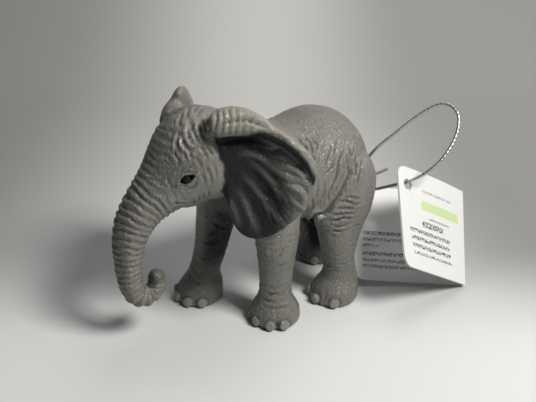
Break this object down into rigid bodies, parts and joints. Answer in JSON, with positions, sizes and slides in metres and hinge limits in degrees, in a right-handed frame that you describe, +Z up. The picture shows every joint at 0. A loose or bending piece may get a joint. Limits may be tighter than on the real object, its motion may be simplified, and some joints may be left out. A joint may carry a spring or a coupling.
{
  "type": "toy elephant calf",
  "caption": "Solid plastic elephant calf in a walking stance, trunk curled and ears spread, with a folded card swing tag on a silver cord loop.",
  "frame": {"origin": "centre of the figure's footprint box, without its tag and cord, on the surface that it stands on", "axes": "+X from the head to the tail, -Y to the animal's left side, +Z up"},
  "size_m": [0.1011, 0.0545, 0.0592],
  "materials": {
    "hide": "satin grey PVC with a dark wash in its wrinkles",
    "eye_gloss": "glossy black",
    "card": "smooth white card",
    "silver_cord": "twisted, with a metallic silver shine"
  },
  "bodies": {
    "figure": {"torso": "hide", "head": "hide", "left_ear": "hide", "right_ear": "hide", "front_left_leg": "hide", "front_right_leg": "hide", "hind_left_leg": "hide", "hind_right_leg": "hide", "tail": "hide", "left_eye": "eye_gloss", "right_eye": "eye_gloss", "tag_cord": "silver_cord"},
    "tag_front": {"tag_front_leaf": "card"},
    "tag_back": {"tag_back_leaf": "card"}
  },
  "joints": [
    {"name": "tag_swing", "type": "hinge", "parent": "figure", "child": "tag_front", "pos_m": [0.03919, -0.01847, 0.0306], "axis": [0.2779, -0.8516, 0.4445], "range_deg": [0, 30], "deforming": ["tag_cord"]},
    {"name": "tag_fold", "type": "hinge", "parent": "tag_front", "child": "tag_back", "pos_m": [0.05321, -0.02914, 0.0005], "axis": [0.4138, 0.5237, 0.7446], "range_deg": [0, 36]}
  ]
}
